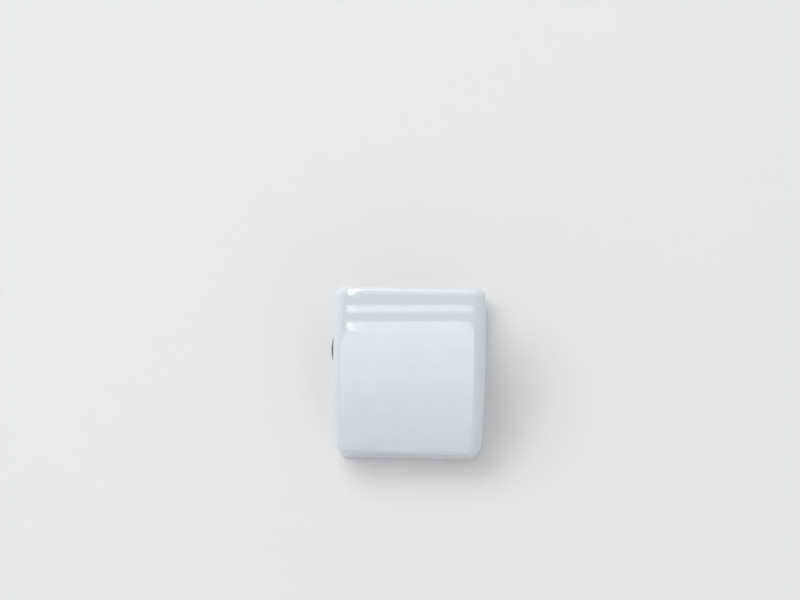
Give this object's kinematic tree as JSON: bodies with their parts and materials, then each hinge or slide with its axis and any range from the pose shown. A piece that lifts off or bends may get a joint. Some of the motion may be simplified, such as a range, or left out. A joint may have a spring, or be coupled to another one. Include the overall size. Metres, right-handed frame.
{
  "type": "magnetic clip",
  "caption": "Spring clip with a crowned rounded-square lever that opens toothed jaws when its handle end is pressed, on a rear lever with a magnetic back.",
  "frame": {"origin": "middle of the back face that meets the board", "axes": "+X across the clip, +Y towards the handle end that is pressed, -Y towards the jaws, +Z away from the board"},
  "size_m": [0.0379, 0.042, 0.021],
  "materials": {
    "white_plastic_front": "polished moulded plastic",
    "white_plastic_rear": "moulded plastic",
    "dark_steel": "black nickel plated",
    "spring_wire": "drawn wire",
    "plated_steel": "zinc plated",
    "ferrite": "ground ferrite"
  },
  "bodies": {
    "rear": {"rear_lever": "white_plastic_rear", "pivot_pin": "dark_steel", "torsion_spring": "spring_wire", "yoke_plate": "plated_steel", "left_magnet": "ferrite", "right_magnet": "ferrite"},
    "front": {"front_lever": "white_plastic_front"}
  },
  "joints": [
    {"name": "jaw_hinge", "type": "hinge", "parent": "rear", "child": "front", "pos_m": [0, 0.00429, 0.00896], "axis": [-1, 0, 0], "range_deg": [0, 42], "stiffness_Nm_per_rad": 0.05, "springref_deg": -57.3, "deforming": ["torsion_spring"]}
  ]
}
